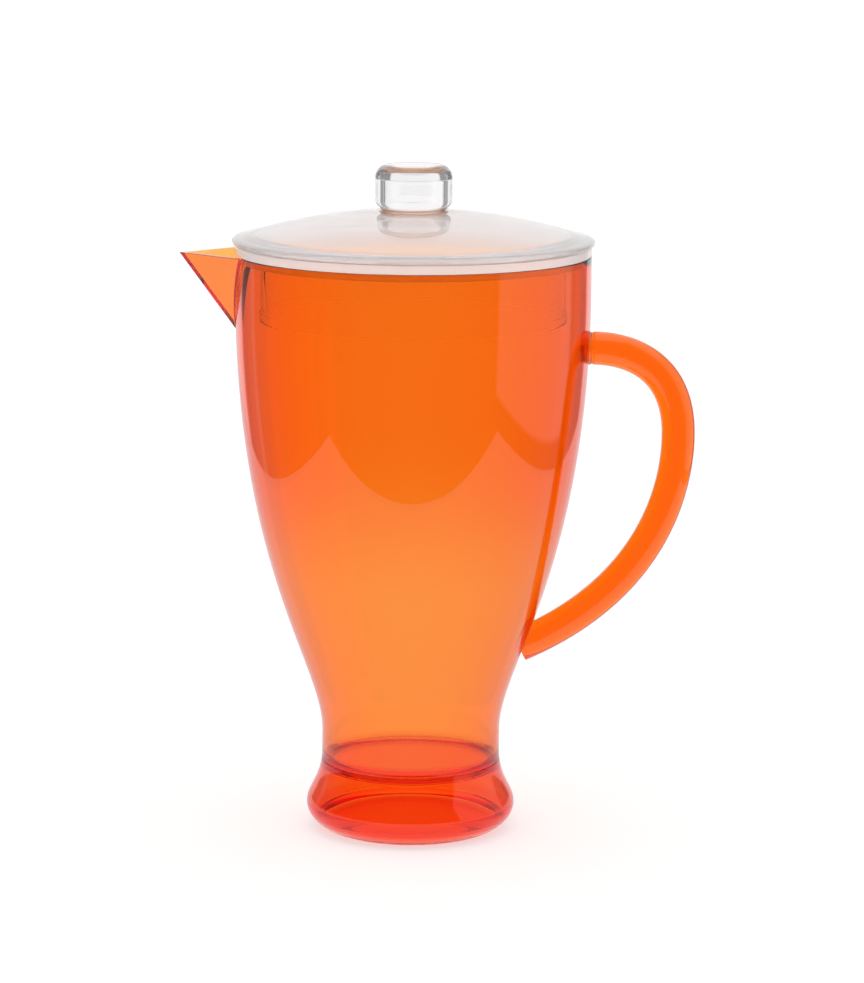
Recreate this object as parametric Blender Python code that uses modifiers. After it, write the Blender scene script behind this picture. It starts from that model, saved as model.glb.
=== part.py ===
"""Footed drinks pitcher: orange vessel with a pouring beak and a loop handle, and a clear lift-off lid.

The pitcher stands on z = 0 with its axis on world Z. The beak points along -X and the handle along +X.
Everything except the beak and the handle is turned about Z, so its outline is (radius, height) points.
"""

import math

import bmesh
import bpy
from mathutils import Vector
from mathutils.geometry import interpolate_bezier

# Driving dimensions, in metres
SEGMENTS = 48
KNOB_SEGMENTS = 32
GAP = 0.0003
MERGE = 0.00002

RIM_Z = 0.2440
RIM_R = 0.0739
SHOULDER_Z = 0.2280
SHOULDER_REACH = 0.1170
WALL_AT_RIM = 0.0024
WALL_AT_WAIST = 0.0016

WAIST_Z = 0.0420
WAIST_R = 0.0375
WAIST_REACH = 0.0280
FLOOR_Z = 0.0285
FLOOR_EDGE_R = 0.0328
FLOOR_CORNER_HEIGHT = 0.0055
FLOOR_THICKNESS = 0.0018

FLARE_TOP_Z = 0.0337
SEAM_Z = 0.0297
COLLAR_WALL = 0.0011
FOOT_WALL = 0.0026
FOOT_R = 0.0440
FOOT_WIDEST_Z = 0.0106
FLARE_REACH_DOWN = 0.0135
FLARE_REACH_UP = 0.0059
CONTACT_R = 0.0339
CONTACT_REACH_DOWN = 0.0070
CONTACT_REACH_OUT = 0.0024
CAP_R = 0.0387
CAP_TOP_Z = 0.0060
CAP_FLOOR = 0.0026
CAP_WALL = 0.0018

BEAK_TIP_X = -0.0970
BEAK_KEEL_X = -0.0742
BEAK_KEEL_Z = 0.2127
BEAK_HALF_WIDTH = 0.0246
BEAK_WALL = 0.0016
BEAK_PANEL_DEPTH = 0.0240
NOTCH_DEPTH = 0.0260
KEEL_ABOVE_TIP = 0.0160
KEEL_BELOW_TIP = 0.0460

GRIP_R = 0.00695
GRIP_TOP_Z = 0.2050
GRIP_APEX = (0.1111, 0.1685)
GRIP_END = (0.0457, 0.0782)
GRIP_END_ANGLE = math.radians(23.8)
GRIP_START_REACH = 0.0070
GRIP_APEX_REACH_UP = 0.0351
GRIP_APEX_REACH_DOWN = 0.0110
GRIP_END_REACH = 0.0696
STUB_FACE_X = 0.0746
STUB_ROOT_X = 0.0725

DOME_APEX_Z = 0.2620
DOME_RADIUS = 0.2400
DOME_WALL = 0.0022
BRIM_R = 0.0753
BRIM_INNER_R = 0.0660
BRIM_WIDEST_Z = 0.2496
BRIM_UNDERSIDE_Z = 0.2480
BRIM_CREASE_R = 0.0718

SKIRT_R = 0.0634
SKIRT_WALL = 0.0018
SKIRT_TOP_Z = 0.2508
SKIRT_BOTTOM_Z = 0.2165
SKIRT_LIP_R = 0.0639
SKIRT_LIP_HEIGHT = 0.0038

SEAL_INNER_R = 0.0644
SEAL_FLANGE_R = 0.0728
SEAL_PLUG_R = 0.0711
SEAL_PLUG_DEPTH = 0.0032

KNOB_R = 0.0160
KNOB_TOP_Z = 0.2810
KNOB_BOTTOM_Z = 0.2634
KNOB_TOP_ROUND = (0.0050, 0.0055)
KNOB_BOTTOM_ROUND = (0.0026, 0.0034)
KNOB_BORE_R = 0.0120
KNOB_BORE_TOP_Z = 0.2752
NECK_R = 0.0141
NECK_BOTTOM_Z = 0.2554
RIPPLE_DEPTH = 0.0003
RIPPLE_PITCH = 0.0017

ABOVE_ALL_Z = 0.3000


def clear_scene():
    for obj in list(bpy.data.objects):
        bpy.data.objects.remove(obj, do_unlink=True)


def new_collection(name):
    collection = bpy.data.collections.new(name)
    bpy.context.scene.collection.children.link(collection)
    return collection


def plastic(name, colour, roughness, transmission):
    material = bpy.data.materials.new(name)
    material.use_nodes = True
    shader = material.node_tree.nodes["Principled BSDF"]
    shader.inputs["Base Color"].default_value = (*colour, 1.0)
    shader.inputs["Roughness"].default_value = roughness
    shader.inputs["Metallic"].default_value = 0.0
    shader.inputs["Transmission Weight"].default_value = transmission
    material.diffuse_color = (*colour, 1.0)
    return material


def add_object(name, mesh, collection, material=None):
    obj = bpy.data.objects.new(name, mesh)
    collection.objects.link(obj)
    if material is not None:
        mesh.materials.append(material)
    return obj


def make_guide(obj):
    """Marks a cutter, which only shapes other objects."""
    obj.hide_render = True
    obj.display_type = "WIRE"
    return obj


def boolean(obj, tool, operation):
    modifier = obj.modifiers.new(tool.name, "BOOLEAN")
    modifier.operation = operation
    modifier.solver = "EXACT"
    modifier.object = tool


def turned(name, outline, collection, material=None, segments=SEGMENTS):
    """Turns an outline about Z. It is a loop, unless it starts and ends on the axis."""
    count = len(outline)
    edges = [(i, i + 1) for i in range(count - 1)]
    if outline[0][0] > 0.0:
        edges.append((count - 1, 0))
    mesh = bpy.data.meshes.new(name)
    mesh.from_pydata([(radius, 0.0, height) for radius, height in outline], edges, [])
    obj = add_object(name, mesh, collection, material)
    screw = obj.modifiers.new("Turn", "SCREW")
    screw.axis = "Z"
    screw.steps = segments
    screw.render_steps = segments
    screw.use_merge_vertices = True
    screw.merge_threshold = MERGE
    screw.use_smooth_shade = True
    return obj


def curve_points(start, start_handle, end_handle, end, count):
    """Points of a cubic curve in the (radius, height) plane, both ends included."""
    corners = [Vector((radius, height, 0.0)) for radius, height in (start, start_handle, end_handle, end)]
    return [(point.x, point.y) for point in interpolate_bezier(*corners, count)]


def ellipse_points(centre, radii, start, end, count):
    """Points of an elliptical arc between two angles in degrees, counted from outwards to upwards."""
    points = []
    for i in range(count):
        angle = math.radians(start + (end - start) * i / (count - 1))
        radius = centre[0] + radii[0] * math.cos(angle)
        height = centre[1] + radii[1] * math.sin(angle)
        points.append((radius, height))
    return points


def moved_inwards(points, first_distance, last_distance):
    """Moves a line that runs downwards towards the axis, each point square to the line."""
    moved = []
    last = len(points) - 1
    for i, (radius, height) in enumerate(points):
        before = Vector(points[max(i - 1, 0)])
        after = Vector(points[min(i + 1, last)])
        along = (after - before).normalized()
        distance = first_distance + (last_distance - first_distance) * i / last
        moved.append((radius + along.y * distance, height - along.x * distance))
    return moved


def height_at(points, radius):
    """The height where a line whose radius shrinks crosses the radius."""
    for (outer, high), (inner, low) in zip(points, points[1:]):
        if inner <= radius <= outer:
            return low + (high - low) * (radius - inner) / (outer - inner)
    raise ValueError("the line doesn't reach this radius")


def radius_at(points, height):
    """The radius where a line that runs downwards crosses the height."""
    for (upper_r, high), (lower_r, low) in zip(points, points[1:]):
        if low <= height <= high:
            return lower_r + (upper_r - lower_r) * (height - low) / (high - low)
    raise ValueError("the line doesn't reach this height")


def vessel_outer_line():
    """The outer side of the vessel's wall, from the shoulder under the rim to the waist."""
    return curve_points(
        (RIM_R, SHOULDER_Z),
        (RIM_R, SHOULDER_Z - SHOULDER_REACH),
        (WAIST_R, WAIST_Z + WAIST_REACH),
        (WAIST_R, WAIST_Z),
        12,
    )


def foot_flare_line():
    """The outer side below the waist, down to the foot's widest ring."""
    return curve_points(
        (WAIST_R, FLARE_TOP_Z),
        (WAIST_R, FLARE_TOP_Z - FLARE_REACH_DOWN),
        (FOOT_R, FOOT_WIDEST_Z + FLARE_REACH_UP),
        (FOOT_R, FOOT_WIDEST_Z),
        9,
    )


def foot_round_line():
    """The rounding under the widest ring, down to the flat that the pitcher stands on."""
    return curve_points(
        (FOOT_R, FOOT_WIDEST_Z),
        (FOOT_R, FOOT_WIDEST_Z - CONTACT_REACH_DOWN),
        (CONTACT_R + CONTACT_REACH_OUT, 0.0),
        (CONTACT_R, 0.0),
        8,
    )


def dome_line(thickness, inner_radius, outer_radius, count):
    """Part of the dome's sphere, moved down by a thickness, from the knob's hole outwards."""
    points = []
    for i in range(count):
        radius = inner_radius + (outer_radius - inner_radius) * i / (count - 1)
        drop = DOME_RADIUS - math.sqrt(DOME_RADIUS**2 - radius**2)
        points.append((radius, DOME_APEX_Z - thickness - drop))
    return points


def beak_frame():
    """The beak's tip, the way its keel runs down, and the way across the V, square to the keel."""
    tip = Vector((BEAK_TIP_X, 0.0, RIM_Z))
    keel = (Vector((BEAK_KEEL_X, 0.0, BEAK_KEEL_Z)) - tip).normalized()
    across = Vector((-keel.z, 0.0, keel.x))
    return tip, keel, across


def beak_half_angle():
    """The angle between the V's middle plane and each of its two panels."""
    tip, _, across = beak_frame()
    corner_x = -math.sqrt(RIM_R**2 - BEAK_HALF_WIDTH**2)
    corner = Vector((corner_x, BEAK_HALF_WIDTH, RIM_Z)) - tip
    return math.atan2(corner.y, corner.dot(across))


def beak_section(depth, reach):
    """Three points of a V square to the keel: depth is how far its bend lies inside the outer keel."""
    slope = math.tan(beak_half_angle())
    return [(reach, -(reach - depth) * slope), (depth, 0.0), (reach, (reach - depth) * slope)]


def swept_along_keel(name, section, closed, collection, material=None):
    """Sweeps a section of the beak along its keel, from above the rim to inside the vessel."""
    tip, keel, across = beak_frame()
    start = tip - keel * KEEL_ABOVE_TIP
    shape = bmesh.new()
    row = [shape.verts.new(start + across * u + Vector((0.0, v, 0.0))) for u, v in section]
    edges = [shape.edges.new(pair) for pair in zip(row, row[1:])]
    if closed:
        face = shape.faces.new(row)
        swept = bmesh.ops.extrude_face_region(shape, geom=[face])["geom"]
    else:
        swept = bmesh.ops.extrude_edge_only(shape, edges=edges)["geom"]
    moved = [item for item in swept if isinstance(item, bmesh.types.BMVert)]
    bmesh.ops.translate(shape, verts=moved, vec=keel * (KEEL_ABOVE_TIP + KEEL_BELOW_TIP))
    bmesh.ops.recalc_face_normals(shape, faces=shape.faces)
    mesh = bpy.data.meshes.new(name)
    shape.to_mesh(mesh)
    shape.free()
    return add_object(name, mesh, collection, material)


def block(name, low, high, collection):
    """A box between two corners, as a cutter."""
    shape = bmesh.new()
    bmesh.ops.create_cube(shape, size=1.0)
    size = Vector(high) - Vector(low)
    middle = (Vector(high) + Vector(low)) / 2.0
    bmesh.ops.scale(shape, vec=size, verts=shape.verts)
    bmesh.ops.translate(shape, vec=middle, verts=shape.verts)
    mesh = bpy.data.meshes.new(name)
    shape.to_mesh(mesh)
    shape.free()
    return make_guide(add_object(name, mesh, collection))


def build_vessel(parts, cutters, material):
    outer = vessel_outer_line()
    inner = moved_inwards(outer, WALL_AT_RIM, WALL_AT_WAIST)
    lip_r = WALL_AT_RIM / 2.0
    lip = ellipse_points((RIM_R - lip_r, RIM_Z - lip_r), (lip_r, lip_r), 180.0, 0.0, 5)
    spigot_r = WAIST_R - COLLAR_WALL - GAP
    underside_z = FLOOR_Z - FLOOR_THICKNESS
    corner = (inner[-1][0] - FLOOR_EDGE_R, FLOOR_CORNER_HEIGHT)
    flare = foot_flare_line()
    outline = [(0.0, FLOOR_Z)]
    outline += ellipse_points((FLOOR_EDGE_R, FLOOR_Z + FLOOR_CORNER_HEIGHT), corner, -90.0, 0.0, 6)
    outline += reversed(inner)
    outline += lip
    outline += outer
    outline += [point for point in flare if point[1] > SEAM_Z]
    outline += [(radius_at(flare, SEAM_Z), SEAM_Z), (spigot_r, SEAM_Z)]
    outline += [(spigot_r, underside_z), (0.0, underside_z)]
    body = turned("jug_body", outline, parts, material)

    inner_keel = BEAK_WALL / math.sin(beak_half_angle())
    notch = swept_along_keel("rim_notch", beak_section(inner_keel, NOTCH_DEPTH), True, cutters)
    boolean(body, make_guide(notch), "DIFFERENCE")

    bpy.ops.mesh.primitive_cylinder_add(
        vertices=32,
        radius=GRIP_R,
        depth=STUB_FACE_X - STUB_ROOT_X,
        location=((STUB_FACE_X + STUB_ROOT_X) / 2.0, 0.0, GRIP_TOP_Z),
        rotation=(0.0, math.pi / 2.0, 0.0),
    )
    stub = bpy.context.object
    stub.name = "handle_stub"
    stub.users_collection[0].objects.unlink(stub)
    cutters.objects.link(stub)
    boolean(body, make_guide(stub), "UNION")


def build_foot(parts, material):
    flare = foot_flare_line()
    rounding = foot_round_line()
    pocket_r = CAP_R + GAP
    ledge_z = FLOOR_Z - FLOOR_THICKNESS - GAP
    collar_r = WAIST_R - COLLAR_WALL
    top_z = SEAM_Z - GAP
    inner = [point for point in moved_inwards(flare, FOOT_WALL, FOOT_WALL) if point[1] < ledge_z]
    outline = [(radius_at(flare, top_z), top_z)]
    outline += [point for point in flare if point[1] < top_z]
    outline += [point for point in rounding[1:] if point[0] > pocket_r]
    outline += [(pocket_r, height_at(rounding, pocket_r)), (pocket_r, CAP_TOP_Z + GAP)]
    outline += reversed(inner)
    outline += [(inner[0][0], ledge_z), (collar_r, ledge_z), (collar_r, top_z)]
    turned("jug_foot", outline, parts, material)

    inner_r = CAP_R - CAP_WALL
    outline = [(0.0, CAP_FLOOR), (inner_r, CAP_FLOOR), (inner_r, CAP_TOP_Z)]
    outline += [(CAP_R, CAP_TOP_Z), (CAP_R, height_at(rounding, CAP_R))]
    outline += [point for point in rounding if point[0] < CAP_R]
    outline += [(0.0, 0.0)]
    turned("foot_base_cap", outline, parts, material)


def vessel_envelope(cutters):
    """The vessel's outside as a filled solid, larger by the gap, to trim what is bonded to the wall."""
    outer = moved_inwards(vessel_outer_line(), -GAP, -GAP)
    outline = [(0.0, ABOVE_ALL_Z), (outer[0][0], ABOVE_ALL_Z)]
    outline += outer
    outline += [(outer[-1][0], SEAM_Z), (0.0, SEAM_Z)]
    return make_guide(turned("vessel_envelope", outline, cutters))


def build_beak(parts, cutters, envelope, material):
    beak = swept_along_keel("spout", beak_section(0.0, BEAK_PANEL_DEPTH), False, parts, material)
    shell = beak.modifiers.new("Wall", "SOLIDIFY")
    shell.thickness = BEAK_WALL
    shell.use_even_offset = True
    tip, _, across = beak_frame()
    if beak.data.polygons[0].normal.dot(across) < 0.0:
        shell.offset = -1.0
    else:
        shell.offset = 1.0
    above = block("above_rim", (2.0 * BEAK_TIP_X, -RIM_R, RIM_Z), (0.0, RIM_R, ABOVE_ALL_Z), cutters)
    boolean(beak, above, "DIFFERENCE")
    boolean(beak, envelope, "DIFFERENCE")


def build_handle(parts, envelope, material):
    """A round bar along a two-part curve, flat against the stub and cut to the wall at its lower end."""
    start = Vector((STUB_FACE_X + GAP, 0.0, GRIP_TOP_Z))
    apex = Vector((GRIP_APEX[0], 0.0, GRIP_APEX[1]))
    end = Vector((GRIP_END[0], 0.0, GRIP_END[1]))
    outwards = Vector((math.cos(GRIP_END_ANGLE), 0.0, math.sin(GRIP_END_ANGLE)))
    level = Vector((GRIP_START_REACH, 0.0, 0.0))
    up = Vector((0.0, 0.0, 1.0))
    curve = bpy.data.curves.new("handle_line", "CURVE")
    curve.dimensions = "3D"
    curve.resolution_u = 18
    curve.bevel_depth = GRIP_R
    curve.bevel_resolution = 6
    curve.use_fill_caps = True
    spline = curve.splines.new("BEZIER")
    spline.bezier_points.add(2)
    knots = (
        (start - level, start, start + level),
        (apex + up * GRIP_APEX_REACH_UP, apex, apex - up * GRIP_APEX_REACH_DOWN),
        (end + outwards * GRIP_END_REACH, end, end - outwards * GRIP_R),
    )
    for point, (left, middle, right) in zip(spline.bezier_points, knots):
        point.handle_left = left
        point.co = middle
        point.handle_right = right
    line = bpy.data.objects.new("handle_line", curve)
    parts.objects.link(line)

    evaluated = line.evaluated_get(bpy.context.evaluated_depsgraph_get())
    mesh = bpy.data.meshes.new_from_object(evaluated)
    shape = bmesh.new()
    shape.from_mesh(mesh)
    bmesh.ops.remove_doubles(shape, verts=shape.verts, dist=MERGE)
    shape.to_mesh(mesh)
    shape.free()
    mesh.name = "handle"
    handle = add_object("handle", mesh, parts, material)
    handle.matrix_world = line.matrix_world
    bpy.data.objects.remove(line, do_unlink=True)
    mesh.shade_smooth()
    boolean(handle, envelope, "DIFFERENCE")


def build_lid(parts, clear, soft):
    hole_r = NECK_R + GAP
    top = dome_line(0.0, hole_r, BRIM_CREASE_R, 7)
    edge_round = (BRIM_R - BRIM_CREASE_R, top[-1][1] - BRIM_WIDEST_Z)
    brim = ellipse_points((BRIM_CREASE_R, BRIM_WIDEST_Z), edge_round, 60.0, 0.0, 4)
    under_round = BRIM_WIDEST_Z - BRIM_UNDERSIDE_Z
    brim += ellipse_points((BRIM_R - under_round, BRIM_WIDEST_Z), (under_round, under_round), -30.0, -90.0, 3)
    brim.append((BRIM_INNER_R, BRIM_UNDERSIDE_Z))
    underside = dome_line(DOME_WALL, hole_r, BRIM_INNER_R - 0.0006, 6)
    turned("lid_dome", top + brim + underside[::-1], parts, clear)

    lip_top_z = SKIRT_BOTTOM_Z + SKIRT_LIP_HEIGHT
    inner_r = SKIRT_R - SKIRT_WALL
    outline = [(inner_r, SKIRT_TOP_Z), (SKIRT_R, SKIRT_TOP_Z), (SKIRT_R, lip_top_z)]
    outline += [(SKIRT_LIP_R, lip_top_z), (SKIRT_LIP_R, SKIRT_BOTTOM_Z), (inner_r, SKIRT_BOTTOM_Z)]
    turned("lid_skirt", outline, parts, clear)

    flange_top_z = BRIM_UNDERSIDE_Z - GAP
    flange_bottom_z = RIM_Z + GAP
    plug_bottom_z = flange_bottom_z - SEAL_PLUG_DEPTH
    outline = [(SEAL_INNER_R, flange_top_z), (SEAL_FLANGE_R, flange_top_z)]
    outline += [(SEAL_FLANGE_R, flange_bottom_z), (SEAL_PLUG_R, flange_bottom_z)]
    outline += [(SEAL_PLUG_R, plug_bottom_z), (SEAL_INNER_R, plug_bottom_z)]
    turned("lid_seal_ring", outline, parts, soft)


def build_knob(parts, clear):
    top_z = KNOB_BOTTOM_Z - GAP
    pitches = round((top_z - NECK_BOTTOM_Z) / RIPPLE_PITCH)
    steps = 4 * pitches
    outline = [(0.0, top_z)]
    for i in range(steps + 1):
        depth = RIPPLE_DEPTH * (1.0 - math.cos(2.0 * math.pi * pitches * i / steps)) / 2.0
        outline.append((NECK_R - depth, top_z + (NECK_BOTTOM_Z - top_z) * i / steps))
    outline.append((0.0, NECK_BOTTOM_Z))
    turned("knob_neck", outline, parts, clear, segments=KNOB_SEGMENTS)

    top_centre = (KNOB_R - KNOB_TOP_ROUND[0], KNOB_TOP_Z - KNOB_TOP_ROUND[1])
    bottom_centre = (KNOB_R - KNOB_BOTTOM_ROUND[0], KNOB_BOTTOM_Z + KNOB_BOTTOM_ROUND[1])
    outline = [(0.0, KNOB_TOP_Z)]
    outline += ellipse_points(top_centre, KNOB_TOP_ROUND, 90.0, 0.0, 6)
    outline += ellipse_points(bottom_centre, KNOB_BOTTOM_ROUND, 0.0, -90.0, 4)
    outline += [(KNOB_BORE_R, KNOB_BOTTOM_Z), (KNOB_BORE_R, KNOB_BORE_TOP_Z), (0.0, KNOB_BORE_TOP_Z)]
    turned("knob", outline, parts, clear, segments=KNOB_SEGMENTS)


def main():
    clear_scene()
    parts = new_collection("footed_pitcher")
    cutters = new_collection("cutters")
    orange = plastic("orange_plastic", (0.90, 0.14, 0.01), 0.06, 0.85)
    clear = plastic("clear_plastic", (0.90, 0.90, 0.92), 0.05, 0.95)
    milky = plastic("milky_silicone", (0.86, 0.80, 0.80), 0.35, 0.50)
    build_vessel(parts, cutters, orange)
    build_foot(parts, orange)
    envelope = vessel_envelope(cutters)
    build_beak(parts, cutters, envelope, orange)
    build_handle(parts, envelope, orange)
    build_lid(parts, clear, milky)
    build_knob(parts, clear)


main()
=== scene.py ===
"""Looks of the footed drinks pitcher: orange vessel, foot and handle, clear lid and knob, soft seal ring.

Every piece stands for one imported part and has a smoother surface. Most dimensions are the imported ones. The
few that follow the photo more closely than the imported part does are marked.
"""

import math

import bmesh
import bpy
from mathutils import Matrix, Vector
from mathutils.bvhtree import BVHTree
from mathutils.geometry import interpolate_bezier


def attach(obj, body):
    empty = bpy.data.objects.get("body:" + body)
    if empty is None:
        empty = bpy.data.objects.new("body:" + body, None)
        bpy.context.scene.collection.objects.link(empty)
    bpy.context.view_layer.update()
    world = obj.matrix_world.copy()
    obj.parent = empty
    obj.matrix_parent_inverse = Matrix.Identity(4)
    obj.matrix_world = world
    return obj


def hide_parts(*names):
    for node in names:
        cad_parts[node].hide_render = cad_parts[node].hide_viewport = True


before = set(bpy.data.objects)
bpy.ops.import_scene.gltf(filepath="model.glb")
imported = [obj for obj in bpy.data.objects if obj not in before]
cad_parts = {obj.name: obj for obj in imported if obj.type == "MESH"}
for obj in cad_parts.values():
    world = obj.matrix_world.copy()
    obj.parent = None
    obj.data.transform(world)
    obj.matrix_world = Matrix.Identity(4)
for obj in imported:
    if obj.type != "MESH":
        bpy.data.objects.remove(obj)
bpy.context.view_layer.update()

# Dimensions in metres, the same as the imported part's unless a comment says otherwise
GAP = 0.0003
SEAM = 0.00005  # width of the joints between pieces that meet, packed: GAP
RIM_Z = 0.2440
RIM_R = 0.0739
SHOULDER_Z = 0.2280
SHOULDER_REACH = 0.1170
WALL_AT_RIM = 0.00225  # packed: 0.0024
WALL_AT_WAIST = 0.0016
THINNING = (0.20, 0.48)  # shares of the vessel's line between which its wall thins, packed: the whole line
WAIST_Z = 0.0420
WAIST_R = 0.0375
WAIST_REACH = 0.0280
FLOOR_Z = 0.0285
FLOOR_EDGE_R = 0.0328
FLOOR_CORNER_HEIGHT = 0.0055
FLOOR_THICKNESS = 0.0018
FLARE_TOP_Z = 0.0337
SEAM_Z = 0.0297
COLLAR_WALL = 0.0011
FOOT_WALL = 0.0026
FOOT_R = 0.0440
FOOT_WIDEST_Z = 0.0106
FLARE_REACH_DOWN = 0.0135
FLARE_REACH_UP = 0.0059
CONTACT_R = 0.0339
CONTACT_REACH_DOWN = 0.0070
CONTACT_REACH_OUT = 0.0024
CAP_R = 0.0387
CAP_TOP_Z = 0.0060
CAP_FLOOR = 0.0026
CAP_WALL = 0.0018
BEAK_TIP_X = -0.0970
BEAK_KEEL_X = -0.0742
BEAK_KEEL_Z = 0.2127
BEAK_HALF_WIDTH = 0.0246
BEAK_WALL = 0.0016
BEAK_PANEL_DEPTH = 0.0240
NOTCH_DEPTH = 0.0260
KEEL_ABOVE_TIP = 0.0160
KEEL_BELOW_TIP = 0.0460
GRIP_R = 0.00695
GRIP_TOP_Z = 0.2050
GRIP_APEX = (0.1111, 0.1685)
GRIP_END = (0.0457, 0.0782)
GRIP_END_ANGLE = math.radians(23.8)
GRIP_START_REACH = 0.0070
GRIP_APEX_REACH_UP = 0.0351
GRIP_APEX_REACH_DOWN = 0.0110
GRIP_END_REACH = 0.0696
STUB_FACE_X = 0.0746
WELD_GROOVE_WIDTH = 0.0008  # the groove is only here, packed: a gap between stub and handle
WELD_GROOVE_DEPTH = 0.0004
WELD_GROOVE_SHAPE = 0.7
WELD_LOWEST_Z = 0.15
GRIP_ROOT_STEPS = 30
GRIP_ROOT_STEP = 0.0002
DOME_APEX_Z = 0.2620
DOME_RADIUS = 0.2400
DOME_WALL = 0.0022
BRIM_R = 0.0753
BRIM_INNER_R = 0.0660
BRIM_STEP_IN = 0.0006
BRIM_WIDEST_Z = 0.2496
BRIM_UNDERSIDE_Z = 0.2480
BRIM_CREASE_R = 0.0718
SKIRT_R = 0.0634
SKIRT_WALL = 0.0018
SKIRT_TOP_Z = 0.2508
SKIRT_BOTTOM_Z = 0.2165
SKIRT_LIP_R = 0.0639
SKIRT_LIP_HEIGHT = 0.0038
SEAL_INNER_R = 0.0644
SEAL_FLANGE_R = 0.0738  # packed: 0.0728
SEAL_PLUG_R = 0.0711
SEAL_PLUG_DEPTH = 0.0032
KNOB_R = 0.0160
KNOB_TOP_Z = 0.2810
KNOB_BOTTOM_Z = 0.2634
KNOB_TOP_ROUND = (0.0050, 0.0055)
KNOB_BOTTOM_ROUND = (0.0026, 0.0034)
KNOB_BORE_R = 0.0120
KNOB_BORE_TOP_Z = 0.2752
NECK_R = 0.0141
NECK_BOTTOM_Z = 0.2554
RIPPLE_DEPTH = 0.0006  # packed: 0.0003
RIPPLE_PITCH = 0.0013  # packed: 0.0017

# Fineness of the smooth surfaces
SEGMENTS = 192
GRIP_SIDES = 64
VESSEL_LINE_POINTS = 72
FOOT_LINE_POINTS = 30
RIPPLE_STEPS = 16
SHARP_ANGLE = math.radians(28.0)
EDGE_ROUND = 0.00035
ROUND_SHARE = 0.45
ROUND_STEP_DEGREES = 18.0
ON_AXIS = 1e-9

# Cutting tools: their top, and their reach to the left and to each side
TOOL_TOP_Z = 0.3
TOOL_REACH = 0.2
TOOL_HALF_WIDTH = 0.1

# Normals carried over to a cut piece
PROBE_SHARE = 0.02
NORMAL_SEARCH = 0.0002
NORMAL_AGREES = 0.97
NEAREST = 1e-7

# Camera: 1.55 m in front of the axis, looking slightly down
CAMERA_AT = (0.00835, -1.5521, 0.4277)
CAMERA_AIM = (0.00835, 0.0, 0.1438)
CAMERA_ROLL = math.radians(0.39)
CAMERA_LENS = 137.83
SENSOR_WIDTH = 36.0

# Table: its glow where it is seen directly or through plastic, and where it is seen by reflection
TABLE_X = (-0.455, 0.485)
TABLE_Y = (-0.328, 3.0)
TABLE_DROP = 0.00005
TABLE_COLOUR = (0.995, 0.995, 0.995, 1.0)
TABLE_SEEN = 1.05
TABLE_REFLECTED = 0.86
TABLE_EVEN_SHARE = 0.48

# Studio: brightness of what is seen directly, then the lights that are seen by reflection. Their edges are
# in degrees, as turns about Z from the front or as rises above level. Each edge fades between two angles.
WHITE = 1.12
BACK_LEFT_EDGE = (-148.0, -144.0)
BACK_RIGHT_EDGE = (149.0, 153.0)
SOFTBOX_START = (55.5, 58.0)
SOFTBOX_END = (121.0, 125.0)
SOFTBOX_TOP = (50.0, 62.0)
SOFTBOX_BOTTOM_TILT = 0.325
SOFTBOX_BOTTOM = (-0.008, 0.008)  # of z + tilt * x, in a direction of length 1
SOFTBOX_LEVEL = 0.72
STRIP_START = (-130.0, -128.0)
STRIP_END = (-125.0, -123.0)
STRIP_LEVEL = 0.35
HIGH_LIGHT_RISE = (30.0, 45.0)
HIGH_LIGHT_TURN = (50.0, 75.0)
CEILING_RISE = (60.0, 70.0)
DARK_TURN = (70.0, 140.0)
DARK_LEVELS = (0.09, 0.30)

# Marks in the plastics. Scales are per metre, and the stretches make a pattern longer along Z.
CLOUD_SCALE = 55.0
CLOUD_STRETCH = (1.0, 1.0, 0.45)
SCUFF_SCALE = 2600.0
SCUFF_STRETCH = (1.0, 1.0, 0.06)
SCUFF_EDGE = (0.60, 0.74)
SCUFF_SHARE = 0.5
SPECK_SCALE = 90.0
SPECK_EDGE = (0.045, 0.075)
SPECK_HEIGHT = 0.05
WAVE_SCALE = 70.0
WAVE_STRETCH = (1.0, 1.0, 0.5)
SILICONE_CLOUD_SCALE = 120.0
SILICONE_GRAIN_SCALE = 400.0


# ---------------------------------------------------------------- shapes


def curve_points(start, start_handle, end_handle, end, count):
    corners = [Vector((radius, height, 0.0)) for radius, height in (start, start_handle, end_handle, end)]
    return [(point.x, point.y) for point in interpolate_bezier(*corners, count)]


def ellipse_points(centre, radii, start, end, count):
    points = []
    for i in range(count):
        angle = math.radians(start + (end - start) * i / (count - 1))
        points.append((centre[0] + radii[0] * math.cos(angle), centre[1] + radii[1] * math.sin(angle)))
    return points


def moved_inwards(points, first_distance, last_distance):
    """Moves a line towards the axis. The distance changes smoothly in the middle of the line."""
    moved = []
    last = len(points) - 1
    for i, (radius, height) in enumerate(points):
        before = Vector(points[max(i - 1, 0)])
        after = Vector(points[min(i + 1, last)])
        along = (after - before).normalized()
        share = min(max((i / last - THINNING[0]) / (THINNING[1] - THINNING[0]), 0.0), 1.0)
        share = share**2 * (3.0 - 2.0 * share)
        distance = first_distance + (last_distance - first_distance) * share
        moved.append((radius + along.y * distance, height - along.x * distance))
    return moved


def height_at(points, radius):
    for (outer, high), (inner, low) in zip(points, points[1:]):
        if inner <= radius <= outer:
            return low + (high - low) * (radius - inner) / (outer - inner)
    raise ValueError("the line doesn't reach this radius")


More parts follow.
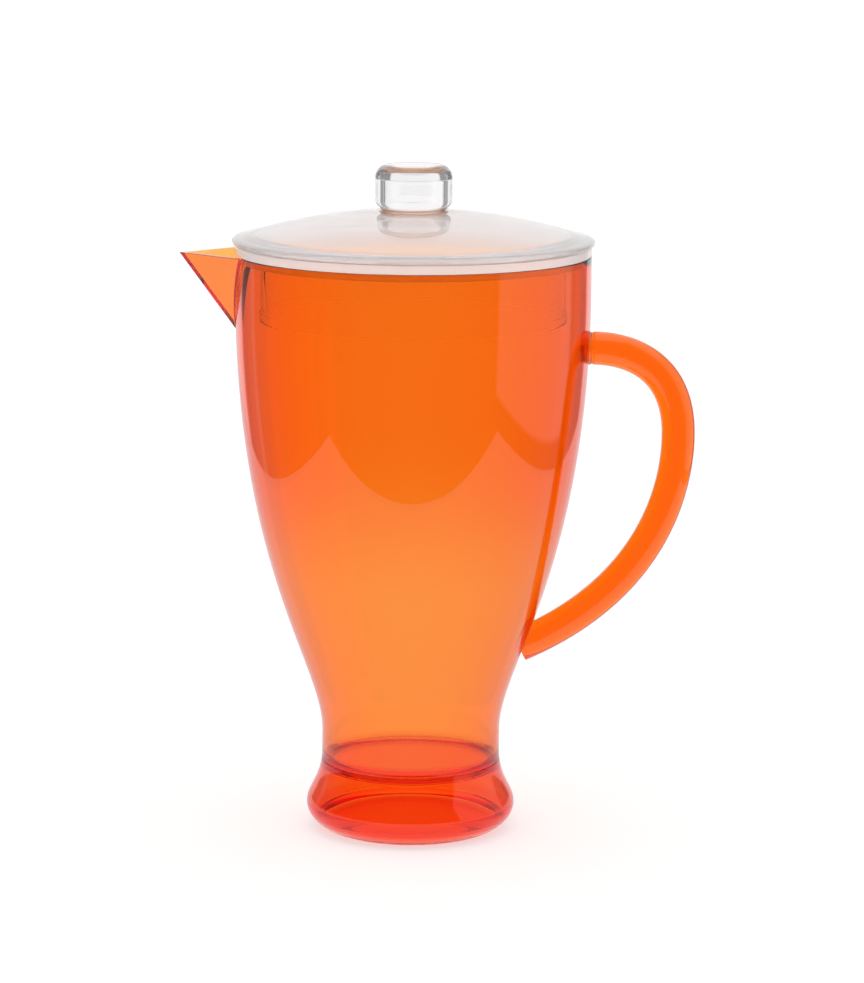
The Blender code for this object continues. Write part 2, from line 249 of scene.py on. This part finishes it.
def softened(outline, radius=EDGE_ROUND):
    """Rounds the sharp corners of an outline. An outline that starts on the axis keeps its two ends."""
    closed = outline[0][0] > 0.0
    count = len(outline)
    result = []
    for i, point in enumerate(outline):
        if not closed and i in (0, count - 1):
            result.append(point)
            continue
        here = Vector(point)
        back = Vector(outline[i - 1]) - here
        ahead = Vector(outline[(i + 1) % count]) - here
        turn = math.pi - back.angle(ahead)
        if turn < SHARP_ANGLE:
            result.append(point)
            continue
        room = ROUND_SHARE * min(back.length, ahead.length)
        reach = min(radius * math.tan(turn / 2.0), room)
        first = here + back.normalized() * reach
        last = here + ahead.normalized() * reach
        steps = max(2, round(math.degrees(turn) / ROUND_STEP_DEGREES))
        for k in range(steps + 1):
            t = k / steps
            mixed = first * (1.0 - t) ** 2 + here * 2.0 * t * (1.0 - t) + last * t**2
            result.append((mixed.x, mixed.y))
    return result


def subdivided(outline, longest):
    """Adds points on long straight stretches, so that the turned surface has no long thin faces."""
    result = []
    count = len(outline)
    stretches = count if outline[0][0] > 0.0 else count - 1
    for i in range(stretches):
        a = Vector(outline[i])
        b = Vector(outline[(i + 1) % count])
        steps = max(1, math.ceil((b - a).length / longest))
        for k in range(steps):
            mixed = a.lerp(b, k / steps)
            result.append((mixed.x, mixed.y))
    if stretches < count:
        result.append(outline[-1])
    return result


def new_object(name, mesh):
    obj = bpy.data.objects.new(name, mesh)
    bpy.context.scene.collection.objects.link(obj)
    return obj


def mesh_object(name, shape):
    mesh = bpy.data.meshes.new(name)
    shape.to_mesh(mesh)
    shape.free()
    return new_object(name, mesh)


def face_outwards(shape):
    bmesh.ops.recalc_face_normals(shape, faces=shape.faces)
    if shape.calc_volume(signed=True) < 0.0:
        bmesh.ops.reverse_faces(shape, faces=shape.faces)


def smooth_object(name, shape):
    face_outwards(shape)
    obj = mesh_object(name, shape)
    for polygon in obj.data.polygons:
        polygon.use_smooth = True
    obj.data.set_sharp_from_angle(angle=SHARP_ANGLE)
    return obj


def turned(name, outline):
    """Turns an outline about Z into a closed smooth surface with outward normals."""
    shape = bmesh.new()
    on_axis = outline[0][0] <= 0.0
    rings = []
    for radius, height in outline:
        if radius <= ON_AXIS:
            rings.append([shape.verts.new((0.0, 0.0, height))])
            continue
        ring = []
        for k in range(SEGMENTS):
            angle = 2.0 * math.pi * k / SEGMENTS
            ring.append(shape.verts.new((radius * math.cos(angle), radius * math.sin(angle), height)))
        rings.append(ring)
    pairs = list(zip(rings, rings[1:]))
    if not on_axis:
        pairs.append((rings[-1], rings[0]))
    for low, high in pairs:
        for k in range(SEGMENTS):
            following = (k + 1) % SEGMENTS
            if len(low) == 1:
                shape.faces.new((low[0], high[k], high[following]))
            elif len(high) == 1:
                shape.faces.new((low[k], high[0], low[following]))
            else:
                shape.faces.new((low[k], high[k], high[following], low[following]))
    return smooth_object(name, shape)


def swept_round(name, centres, radius, sides):
    """A round bar along centres that lie in the plane y = 0, with flat ends and a fine groove at the weld."""
    shape = bmesh.new()
    rings = []
    last = len(centres) - 1
    for i, centre in enumerate(centres):
        along = (centres[min(i + 1, last)] - centres[max(i - 1, 0)]).normalized()
        if i == 0:
            along = Vector((1.0, 0.0, 0.0))
        side = Vector((along.z, 0.0, -along.x))
        ring = []
        at_top = centre.z > WELD_LOWEST_Z
        from_weld = abs(centre.x - STUB_FACE_X) / WELD_GROOVE_WIDTH if at_top else 1.0
        depth = WELD_GROOVE_DEPTH * max(0.0, 1.0 - from_weld) ** WELD_GROOVE_SHAPE
        for k in range(sides):
            angle = 2.0 * math.pi * k / sides
            offset = side * math.cos(angle) + Vector((0.0, 1.0, 0.0)) * math.sin(angle)
            ring.append(shape.verts.new(centre + offset * (radius - depth)))
        rings.append(ring)
    for low, high in zip(rings, rings[1:]):
        for k in range(sides):
            following = (k + 1) % sides
            shape.faces.new((low[k], low[following], high[following], high[k]))
    shape.faces.new(rings[0][::-1])
    shape.faces.new(rings[-1])
    return smooth_object(name, shape)


def cut_away(obj, tool):
    """Cuts the tool's solid out of obj. The tool is then removed."""
    modifier = obj.modifiers.new("Cut", "BOOLEAN")
    modifier.operation = "DIFFERENCE"
    modifier.solver = "EXACT"
    modifier.object = tool
    evaluated = obj.evaluated_get(bpy.context.evaluated_depsgraph_get())
    mesh = bpy.data.meshes.new_from_object(evaluated)
    obj.modifiers.clear()
    obj.data = mesh
    bpy.data.objects.remove(tool, do_unlink=True)


def carry_normals(obj, smooth):
    """Gives obj the normals of the uncut surface smooth, which is then removed, and flat ones on the cuts."""
    source = smooth.data
    corner_normals = [corner.vector.copy() for corner in source.corner_normals]
    tree = BVHTree.FromPolygons([v.co for v in source.vertices], [list(p.vertices) for p in source.polygons])
    mesh = obj.data
    normals = [None] * len(mesh.loops)
    for polygon in mesh.polygons:
        for index in polygon.loop_indices:
            point = mesh.vertices[mesh.loops[index].vertex_index].co
            probe = point.lerp(polygon.center, PROBE_SHARE)
            normals[index] = polygon.normal
            found, _, face, _ = tree.find_nearest(probe, NORMAL_SEARCH)
            if found is None:
                continue
            total = Vector()
            for corner in source.polygons[face].loop_indices:
                at = source.vertices[source.loops[corner].vertex_index].co
                total += corner_normals[corner] / ((at - point).length + NEAREST)
            total.normalize()
            if total.dot(polygon.normal) > NORMAL_AGREES:
                normals[index] = total
    for polygon in mesh.polygons:
        polygon.use_smooth = True
    mesh.normals_split_custom_set(normals)
    bpy.data.objects.remove(smooth, do_unlink=True)


# ---------------------------------------------------------------- lines


def vessel_outer_line():
    return curve_points(
        (RIM_R, SHOULDER_Z),
        (RIM_R, SHOULDER_Z - SHOULDER_REACH),
        (WAIST_R, WAIST_Z + WAIST_REACH),
        (WAIST_R, WAIST_Z),
        VESSEL_LINE_POINTS,
    )


def radius_at(points, height):
    for (upper_r, high), (lower_r, low) in zip(points, points[1:]):
        if low <= height <= high:
            return lower_r + (upper_r - lower_r) * (height - low) / (high - low)
    raise ValueError("the line doesn't reach this height")


def foot_flare_line():
    return curve_points(
        (WAIST_R, FLARE_TOP_Z),
        (WAIST_R, FLARE_TOP_Z - FLARE_REACH_DOWN),
        (FOOT_R, FOOT_WIDEST_Z + FLARE_REACH_UP),
        (FOOT_R, FOOT_WIDEST_Z),
        FOOT_LINE_POINTS,
    )


def foot_round_line():
    return curve_points(
        (FOOT_R, FOOT_WIDEST_Z),
        (FOOT_R, FOOT_WIDEST_Z - CONTACT_REACH_DOWN),
        (CONTACT_R + CONTACT_REACH_OUT, 0.0),
        (CONTACT_R, 0.0),
        FOOT_LINE_POINTS,
    )


def dome_line(thickness, inner_radius, outer_radius, count):
    points = []
    for i in range(count):
        radius = inner_radius + (outer_radius - inner_radius) * i / (count - 1)
        drop = DOME_RADIUS - math.sqrt(DOME_RADIUS**2 - radius**2)
        points.append((radius, DOME_APEX_Z - thickness - drop))
    return points


def beak_frame():
    tip = Vector((BEAK_TIP_X, 0.0, RIM_Z))
    keel = (Vector((BEAK_KEEL_X, 0.0, BEAK_KEEL_Z)) - tip).normalized()
    across = Vector((-keel.z, 0.0, keel.x))
    return tip, keel, across


def beak_half_angle():
    tip, _, across = beak_frame()
    corner_x = -math.sqrt(RIM_R**2 - BEAK_HALF_WIDTH**2)
    corner = Vector((corner_x, BEAK_HALF_WIDTH, RIM_Z)) - tip
    return math.atan2(corner.y, corner.dot(across))


def beak_inside():
    """The slope of the beak's panels in its section, and how far the inner corner lies behind the keel."""
    half_angle = beak_half_angle()
    return math.tan(half_angle), BEAK_WALL / math.sin(half_angle)


def swept_along_keel(name, section):
    """Sweeps a closed section, given as (across, sideways) points, along the beak's keel."""
    tip, keel, across = beak_frame()
    start = tip - keel * KEEL_ABOVE_TIP
    shape = bmesh.new()
    row = [shape.verts.new(start + across * u + Vector((0.0, v, 0.0))) for u, v in section]
    face = shape.faces.new(row)
    swept = bmesh.ops.extrude_face_region(shape, geom=[face])["geom"]
    moved = [item for item in swept if isinstance(item, bmesh.types.BMVert)]
    bmesh.ops.translate(shape, verts=moved, vec=keel * (KEEL_ABOVE_TIP + KEEL_BELOW_TIP))
    face_outwards(shape)
    return mesh_object(name, shape)


def block(name, low, high):
    shape = bmesh.new()
    bmesh.ops.create_cube(shape, size=1.0)
    bmesh.ops.scale(shape, vec=Vector(high) - Vector(low), verts=shape.verts)
    bmesh.ops.translate(shape, vec=(Vector(high) + Vector(low)) / 2.0, verts=shape.verts)
    return mesh_object(name, shape)


def envelope(distance):
    """The vessel's outside as a filled solid, moved inwards by a distance."""
    outer = moved_inwards(vessel_outer_line(), distance, distance)
    outline = [(0.0, TOOL_TOP_Z), (outer[0][0], TOOL_TOP_Z)]
    outline += outer
    outline += [(outer[-1][0], SEAM_Z), (0.0, SEAM_Z)]
    return turned("envelope", outline)


# ---------------------------------------------------------------- pieces


def make_vessel():
    outer = vessel_outer_line()
    inner = moved_inwards(outer, WALL_AT_RIM, WALL_AT_WAIST)
    lip = [(inner[0][0], RIM_Z), (RIM_R, RIM_Z)]  # flat with small rounds, packed: a full round
    spigot_r = WAIST_R - COLLAR_WALL - GAP
    underside_z = FLOOR_Z - FLOOR_THICKNESS
    corner = (inner[-1][0] - FLOOR_EDGE_R, FLOOR_CORNER_HEIGHT)
    flare = foot_flare_line()
    outline = [(0.0, FLOOR_Z)]
    outline += ellipse_points((FLOOR_EDGE_R, FLOOR_Z + FLOOR_CORNER_HEIGHT), corner, -90.0, 0.0, count=20)
    outline += reversed(inner)
    outline += lip
    outline += outer
    outline += [point for point in flare if point[1] > SEAM_Z]
    outline += [(radius_at(flare, SEAM_Z), SEAM_Z), (spigot_r, SEAM_Z)]
    outline += [(spigot_r, underside_z), (0.0, underside_z)]
    outline = subdivided(softened(outline), longest=0.004)
    body = turned("pitcher_vessel", outline)
    smooth = turned("smooth_vessel", outline)

    slope, depth = beak_inside()
    half_width = (NOTCH_DEPTH - depth) * slope
    inside = [(NOTCH_DEPTH, -half_width), (depth, 0.0), (NOTCH_DEPTH, half_width)]
    cut_away(body, swept_along_keel("notch", inside))
    carry_normals(body, smooth)
    return body


def make_beak():
    slope, depth = beak_inside()
    reach = BEAK_PANEL_DEPTH
    section = [
        (reach, -reach * slope),
        (0.0, 0.0),
        (reach, reach * slope),
        (reach, (reach - depth) * slope),
        (depth, 0.0),
        (reach, -(reach - depth) * slope),
    ]
    beak = swept_along_keel("pouring_beak", section)
    low = (-TOOL_REACH, -TOOL_HALF_WIDTH, RIM_Z)
    high = (0.0, TOOL_HALF_WIDTH, TOOL_TOP_Z)
    cut_away(beak, block("above_rim", low, high))
    cut_away(beak, envelope(-SEAM))
    return beak


def make_foot():
    flare = foot_flare_line()
    rounding = foot_round_line()
    pocket_r = CAP_R + GAP
    ledge_z = FLOOR_Z - FLOOR_THICKNESS - GAP
    collar_r = WAIST_R - COLLAR_WALL
    top_z = SEAM_Z - GAP
    inner = [point for point in moved_inwards(flare, FOOT_WALL, FOOT_WALL) if point[1] < ledge_z]
    outline = [(radius_at(flare, top_z), top_z)]
    outline += [point for point in flare if point[1] < top_z]
    outline += [point for point in rounding[1:] if point[0] > pocket_r]
    outline += [(pocket_r, height_at(rounding, pocket_r)), (pocket_r, CAP_TOP_Z + GAP)]
    outline += reversed(inner)
    outline += [(inner[0][0], ledge_z), (collar_r, ledge_z), (collar_r, top_z)]
    return turned("flared_foot", softened(outline, radius=0.0002))


def make_base_cap():
    rounding = foot_round_line()
    inner_r = CAP_R - CAP_WALL
    outline = [(0.0, CAP_FLOOR), (inner_r, CAP_FLOOR), (inner_r, CAP_TOP_Z)]
    outline += [(CAP_R, CAP_TOP_Z), (CAP_R, height_at(rounding, CAP_R))]
    outline += [point for point in rounding if point[0] < CAP_R]
    outline += [(0.0, 0.0)]
    return turned("base_cap", subdivided(softened(outline), longest=0.004))


def make_handle():
    start = Vector((STUB_FACE_X + GAP, GRIP_TOP_Z))
    apex = Vector(GRIP_APEX)
    end = Vector(GRIP_END)
    outwards = Vector((math.cos(GRIP_END_ANGLE), math.sin(GRIP_END_ANGLE)))
    first = (start, start + Vector((GRIP_START_REACH, 0.0)), apex + Vector((0.0, GRIP_APEX_REACH_UP)), apex)
    second = (apex, apex - Vector((0.0, GRIP_APEX_REACH_DOWN)), end + outwards * GRIP_END_REACH, end)
    root = [(STUB_FACE_X + GAP - GRIP_ROOT_STEP * i, GRIP_TOP_Z) for i in range(GRIP_ROOT_STEPS, 0, -1)]
    line = root + curve_points(*first, count=60) + curve_points(*second, count=90)[1:]
    centres = [Vector((x, 0.0, z)) for x, z in line]
    handle = swept_round("loop_handle", centres, GRIP_R, GRIP_SIDES)
    smooth = swept_round("smooth_handle", centres, GRIP_R, GRIP_SIDES)
    cut_away(handle, envelope(-SEAM))
    carry_normals(handle, smooth)
    return handle


def make_dome():
    hole_r = NECK_R + GAP
    top = dome_line(0.0, hole_r, BRIM_CREASE_R, count=40)
    edge_round = (BRIM_R - BRIM_CREASE_R, top[-1][1] - BRIM_WIDEST_Z)
    brim = ellipse_points((BRIM_CREASE_R, BRIM_WIDEST_Z), edge_round, 75.0, 0.0, count=12)
    under_round = BRIM_WIDEST_Z - BRIM_UNDERSIDE_Z
    under_centre = (BRIM_R - under_round, BRIM_WIDEST_Z)
    brim += ellipse_points(under_centre, (under_round, under_round), -10.0, -90.0, count=9)
    brim.append((BRIM_INNER_R, BRIM_UNDERSIDE_Z))
    underside = dome_line(DOME_WALL, hole_r, BRIM_INNER_R - BRIM_STEP_IN, count=36)
    return turned("domed_lid", softened(top + brim + underside[::-1], radius=0.0004))


def make_skirt():
    lip_top_z = SKIRT_BOTTOM_Z + SKIRT_LIP_HEIGHT
    inner_r = SKIRT_R - SKIRT_WALL
    outline = [(inner_r, SKIRT_TOP_Z), (SKIRT_R, SKIRT_TOP_Z), (SKIRT_R, lip_top_z)]
    outline += [(SKIRT_LIP_R, lip_top_z), (SKIRT_LIP_R, SKIRT_BOTTOM_Z), (inner_r, SKIRT_BOTTOM_Z)]
    return turned("lid_inner_skirt", subdivided(softened(outline, radius=0.0009), longest=0.003))


def make_seal():
    flange_top_z = BRIM_UNDERSIDE_Z - GAP
    flange_bottom_z = RIM_Z + SEAM
    plug_bottom_z = flange_bottom_z - SEAL_PLUG_DEPTH
    outline = [(SEAL_INNER_R, flange_top_z), (SEAL_FLANGE_R, flange_top_z)]
    outline += [(SEAL_FLANGE_R, flange_bottom_z), (SEAL_PLUG_R, flange_bottom_z)]
    outline += [(SEAL_PLUG_R, plug_bottom_z), (SEAL_INNER_R, plug_bottom_z)]
    return turned("seal_ring", softened(outline, radius=0.0005))


def make_neck():
    top_z = KNOB_BOTTOM_Z - GAP
    pitches = round((top_z - NECK_BOTTOM_Z) / RIPPLE_PITCH)
    steps = RIPPLE_STEPS * pitches
    outline = [(0.0, top_z)]
    for i in range(steps + 1):
        depth = RIPPLE_DEPTH * (1.0 - math.cos(2.0 * math.pi * pitches * i / steps)) / 2.0
        outline.append((NECK_R - depth, top_z + (NECK_BOTTOM_Z - top_z) * i / steps))
    outline.append((0.0, NECK_BOTTOM_Z))
    return turned("knob_rippled_neck", subdivided(softened(outline, radius=0.0003), longest=0.002))


def make_knob():
    top_centre = (KNOB_R - KNOB_TOP_ROUND[0], KNOB_TOP_Z - KNOB_TOP_ROUND[1])
    bottom_centre = (KNOB_R - KNOB_BOTTOM_ROUND[0], KNOB_BOTTOM_Z + KNOB_BOTTOM_ROUND[1])
    outline = [(0.0, KNOB_TOP_Z)]
    outline += ellipse_points(top_centre, KNOB_TOP_ROUND, 90.0, 0.0, count=24)
    outline += ellipse_points(bottom_centre, KNOB_BOTTOM_ROUND, 0.0, -90.0, count=16)
    outline += [(KNOB_BORE_R, KNOB_BOTTOM_Z), (KNOB_BORE_R, KNOB_BORE_TOP_Z), (0.0, KNOB_BORE_TOP_Z)]
    return turned("lid_knob", subdivided(softened(outline, radius=0.0005), longest=0.002))


# ---------------------------------------------------------------- materials


class Nodes:
    """Short ways to add and link shader nodes."""

    def __init__(self, tree):
        self.tree = tree
        tree.nodes.clear()

    def add(self, kind, **settings):
        node = self.tree.nodes.new(kind)
        for key, value in settings.items():
            setattr(node, key, value)
        return node

    def link(self, source, target):
        self.tree.links.new(source, target)

    def put(self, socket, value):
        if isinstance(value, bpy.types.NodeSocket):
            self.link(value, socket)
        else:
            socket.default_value = value

    def math(self, operation, *values):
        node = self.add("ShaderNodeMath", operation=operation)
        for socket, value in zip(node.inputs, values):
            self.put(socket, value)
        return node.outputs[0]

    def map_range(self, value, low, high, to_low, to_high, smooth=True):
        node = self.add("ShaderNodeMapRange", interpolation_type="SMOOTHSTEP" if smooth else "LINEAR")
        for socket, item in zip(node.inputs, (value, low, high, to_low, to_high)):
            self.put(socket, item)
        return node.outputs[0]

    def fade_in(self, value, edge):
        return self.map_range(value, *edge, 0.0, 1.0)

    def fade_out(self, value, edge):
        return self.map_range(value, *edge, 1.0, 0.0)

    def is_reflection(self):
        return self.math("GREATER_THAN", self.add("ShaderNodeLightPath").outputs["Glossy Depth"], 0.5)

    def blend(self, factor, first, second):
        node = self.add("ShaderNodeMix", data_type="RGBA")
        self.link(factor, node.inputs["Factor"])
        node.inputs["A"].default_value = (*first, 1.0)
        node.inputs["B"].default_value = (*second, 1.0)
        return node.outputs["Result"]

    def noise(self, vector, scale, detail, roughness=0.5):
        node = self.add("ShaderNodeTexNoise")
        self.link(vector, node.inputs["Vector"])
        node.inputs["Scale"].default_value = scale
        node.inputs["Detail"].default_value = detail
        node.inputs["Roughness"].default_value = roughness
        return node.outputs["Fac"]

    def stretched(self, vector, scale):
        node = self.add("ShaderNodeMapping")
        self.link(vector, node.inputs["Vector"])
        node.inputs["Scale"].default_value = scale
        return node.outputs["Vector"]


def moulded_plastic(name, tint, absorbed, density, ior, rough, wave_depth, clearness=1.0):
    """Clear or tinted moulded plastic: waviness, hairline scuffs and specks over an absorbing inside."""
    material = bpy.data.materials.new(name)
    material.use_nodes = True
    n = Nodes(material.node_tree)
    place = n.add("ShaderNodeTexCoord").outputs["Object"]
    shader = n.add("ShaderNodeBsdfPrincipled")
    shader.inputs["Transmission Weight"].default_value = clearness
    shader.inputs["IOR"].default_value = ior

    clouds = n.noise(n.stretched(place, CLOUD_STRETCH), CLOUD_SCALE, detail=3.0)
    n.link(n.blend(clouds, *tint), shader.inputs["Base Color"])

    scuffs = n.noise(n.stretched(place, SCUFF_STRETCH), SCUFF_SCALE, detail=2.0, roughness=0.6)
    scuffed = n.fade_in(scuffs, SCUFF_EDGE)
    specks = n.add("ShaderNodeTexVoronoi", feature="F1")
    n.link(place, specks.inputs["Vector"])
    specks.inputs["Scale"].default_value = SPECK_SCALE
    speck = n.fade_out(specks.outputs["Distance"], SPECK_EDGE)
    marks = n.math("MAXIMUM", n.math("MULTIPLY", scuffed, SCUFF_SHARE), speck)
    n.link(n.map_range(marks, 0.0, 1.0, *rough, smooth=False), shader.inputs["Roughness"])

    waves = n.noise(n.stretched(place, WAVE_STRETCH), WAVE_SCALE, detail=1.0)
    height = n.math("ADD", waves, n.math("MULTIPLY", speck, SPECK_HEIGHT))
    bump = n.add("ShaderNodeBump")
    bump.inputs["Strength"].default_value = 1.0
    bump.inputs["Distance"].default_value = wave_depth
    n.link(height, bump.inputs["Height"])
    n.link(bump.outputs["Normal"], shader.inputs["Normal"])

    inside = n.add("ShaderNodeVolumeAbsorption")
    inside.inputs["Color"].default_value = (*absorbed, 1.0)
    inside.inputs["Density"].default_value = density
    output = n.add("ShaderNodeOutputMaterial")
    n.link(shader.outputs["BSDF"], output.inputs["Surface"])
    n.link(inside.outputs["Volume"], output.inputs["Volume"])
    return material


def silicone(name, colours, clearness, ior, rough):
    """Cloudy silicone with a fine matt grain."""
    material = bpy.data.materials.new(name)
    material.use_nodes = True
    n = Nodes(material.node_tree)
    place = n.add("ShaderNodeTexCoord").outputs["Object"]
    shader = n.add("ShaderNodeBsdfPrincipled")
    shader.inputs["Transmission Weight"].default_value = clearness
    shader.inputs["IOR"].default_value = ior
    clouds = n.noise(place, SILICONE_CLOUD_SCALE, detail=3.0)
    n.link(n.blend(clouds, *colours), shader.inputs["Base Color"])
    grain = n.noise(place, SILICONE_GRAIN_SCALE, detail=2.0)
    n.link(n.map_range(grain, 0.3, 0.7, *rough), shader.inputs["Roughness"])
    output = n.add("ShaderNodeOutputMaterial")
    n.link(shader.outputs["BSDF"], output.inputs["Surface"])
    return material


# ---------------------------------------------------------------- studio


def make_table():
    """A pale table top whose front edge lies just below the view. Seen by reflection, it glows evenly."""
    shape = bmesh.new()
    (left, right), (front, back) = TABLE_X, TABLE_Y
    corners = [(left, front, 0.0), (right, front, 0.0), (right, back, 0.0), (left, back, 0.0)]
    shape.faces.new([shape.verts.new(corner) for corner in corners])
    table = mesh_object("table_top", shape)
    table.location.z = -TABLE_DROP
    material = bpy.data.materials.new("table_white")
    material.use_nodes = True
    n = Nodes(material.node_tree)
    diffuse = n.add("ShaderNodeBsdfDiffuse")
    diffuse.inputs["Color"].default_value = TABLE_COLOUR
    glow = n.add("ShaderNodeEmission")
    reflected = n.is_reflection()
    strength = n.map_range(reflected, 0.0, 1.0, TABLE_SEEN, TABLE_REFLECTED, smooth=False)
    n.link(strength, glow.inputs["Strength"])
    mix = n.add("ShaderNodeMixShader")
    n.link(n.math("MAXIMUM", reflected, TABLE_EVEN_SHARE), mix.inputs["Fac"])
    n.link(diffuse.outputs["BSDF"], mix.inputs[1])
    n.link(glow.outputs["Emission"], mix.inputs[2])
    output = n.add("ShaderNodeOutputMaterial")
    n.link(mix.outputs["Shader"], output.inputs["Surface"])
    table.data.materials.append(material)


def make_world():
    """White all round for what is seen directly or through plastic, and a studio for what is reflected."""
    world = bpy.data.worlds.new("studio")
    bpy.context.scene.world = world
    world.use_nodes = True
    n = Nodes(world.node_tree)
    way = n.add("ShaderNodeSeparateXYZ")
    n.link(n.add("ShaderNodeTexCoord").outputs["Generated"], way.inputs[0])
    x, y, z = way.outputs
    turn = n.math("DEGREES", n.math("ARCTAN2", x, n.math("MULTIPLY", y, -1.0)))
    rise = n.math("DEGREES", n.math("ARCSINE", z))
    from_front = n.math("ABSOLUTE", turn)

    back = n.math("MAXIMUM", n.fade_out(turn, BACK_LEFT_EDGE), n.fade_in(turn, BACK_RIGHT_EDGE))

    softbox = n.math("MULTIPLY", n.fade_in(turn, SOFTBOX_START), n.fade_out(turn, SOFTBOX_END))
    softbox = n.math("MULTIPLY", softbox, n.fade_out(rise, SOFTBOX_TOP))
    above_edge = n.math("ADD", z, n.math("MULTIPLY", x, SOFTBOX_BOTTOM_TILT))
    softbox = n.math("MULTIPLY", softbox, n.fade_in(above_edge, SOFTBOX_BOTTOM))
    softbox = n.math("MULTIPLY", softbox, SOFTBOX_LEVEL)

    strip = n.math("MULTIPLY", n.fade_in(turn, STRIP_START), n.fade_out(turn, STRIP_END))
    strip = n.math("MULTIPLY", strip, STRIP_LEVEL)

    high = n.math("MULTIPLY", n.fade_in(rise, HIGH_LIGHT_RISE), n.fade_in(from_front, HIGH_LIGHT_TURN))
    bright = n.fade_in(rise, CEILING_RISE)
    for light in (back, softbox, strip, high):
        bright = n.math("MAXIMUM", bright, light)

    dark = n.map_range(from_front, *DARK_TURN, *DARK_LEVELS)
    level = n.map_range(bright, 0.0, 1.0, dark, 1.0, smooth=False)
    strength = n.add("ShaderNodeMix", data_type="FLOAT")
    n.link(n.is_reflection(), strength.inputs["Factor"])
    strength.inputs["A"].default_value = WHITE
    n.link(level, strength.inputs["B"])
    background = n.add("ShaderNodeBackground")
    background.inputs["Color"].default_value = (1.0, 1.0, 1.0, 1.0)
    n.link(strength.outputs["Result"], background.inputs["Strength"])
    output = n.add("ShaderNodeOutputWorld")
    n.link(background.outputs["Background"], output.inputs["Surface"])


def make_camera():
    place = Vector(CAMERA_AT)
    ahead = (Vector(CAMERA_AIM) - place).normalized()
    right = Vector((1.0, 0.0, 0.0))
    up = right.cross(ahead)
    rolled_right = right * math.cos(CAMERA_ROLL) + up * math.sin(CAMERA_ROLL)
    rolled_up = up * math.cos(CAMERA_ROLL) - right * math.sin(CAMERA_ROLL)
    data = bpy.data.cameras.new("camera")
    data.lens = CAMERA_LENS
    data.sensor_width = SENSOR_WIDTH
    camera = new_object("camera", data)
    turn = Matrix((rolled_right, rolled_up, -ahead)).transposed().to_4x4()
    camera.matrix_world = Matrix.Translation(place) @ turn
    bpy.context.scene.camera = camera


def set_render():
    scene = bpy.context.scene
    scene.view_settings.view_transform = "Standard"
    scene.cycles.max_bounces = 48
    scene.cycles.transmission_bounces = 48
    scene.cycles.glossy_bounces = 32
    scene.cycles.diffuse_bounces = 3
    scene.cycles.volume_bounces = 0
    scene.cycles.caustics_reflective = True
    scene.cycles.caustics_refractive = True
    scene.cycles.blur_glossy = 0.0


# ---------------------------------------------------------------- assembly

ORANGE = {
    "tint": ((1.0, 1.0, 1.0), (0.99, 0.975, 0.96)),
    "absorbed": (0.999, 0.652, 0.0),
    "rough": (0.012, 0.09),
    "wave_depth": 0.00001,
}
CLEAR = {"absorbed": (0.80, 0.79, 0.82), "wave_depth": 0.000008}
CLEAR_TINT = ((1.0, 1.0, 1.0), (0.98, 0.975, 0.985))
HAZY_TINT = ((0.985, 0.975, 1.0), (1.0, 0.995, 1.0))
orange = moulded_plastic("orange_plastic", density=1150.0, ior=1.50, **ORANGE)
orange_bonded = moulded_plastic("orange_plastic_bonded", density=1150.0, ior=1.22, **ORANGE)
orange_thick = moulded_plastic("orange_plastic_thick", density=430.0, ior=1.50, **ORANGE)
clear = moulded_plastic("clear_plastic", CLEAR_TINT, density=8.0, ior=1.57, rough=(0.012, 0.10), **CLEAR)
hazy = moulded_plastic(
    "hazy_clear_plastic", HAZY_TINT, density=1.0, ior=1.45, rough=(0.02, 0.12), clearness=0.72, **CLEAR
)
sheer = moulded_plastic(
    "sheer_clear_plastic", CLEAR_TINT, density=8.0, ior=1.05, rough=(0.03, 0.12), clearness=0.985, **CLEAR
)
MILKY_COLOURS = ((0.97, 0.93, 0.95), (0.99, 0.96, 0.98))
milky = silicone("milky_silicone", MILKY_COLOURS, clearness=0.45, ior=1.41, rough=(0.16, 0.22))

PIECES = (
    (make_vessel, orange, "jug_body", "jug", "orange_plastic"),
    (make_beak, orange, "spout", "jug", "orange_plastic"),
    (make_handle, orange_thick, "handle", "jug", "orange_plastic"),
    (make_foot, orange, "jug_foot", "jug", "orange_plastic"),
    (make_base_cap, orange_bonded, "foot_base_cap", "jug", "orange_plastic"),
    (make_dome, hazy, "lid_dome", "lid", "clear_plastic"),
    (make_skirt, sheer, "lid_skirt", "lid", "clear_plastic"),
    (make_seal, milky, "lid_seal_ring", "seal", "milky_silicone"),
    (make_neck, clear, "knob_neck", "lid", "clear_plastic"),
    (make_knob, clear, "knob", "lid", "clear_plastic"),
)
for make, material, node, body, slot in PIECES:
    piece = make()
    piece.data.materials.clear()
    piece.data.materials.append(material)
    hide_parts(node)
    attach(piece, body)

make_table()
make_world()
make_camera()
set_render()
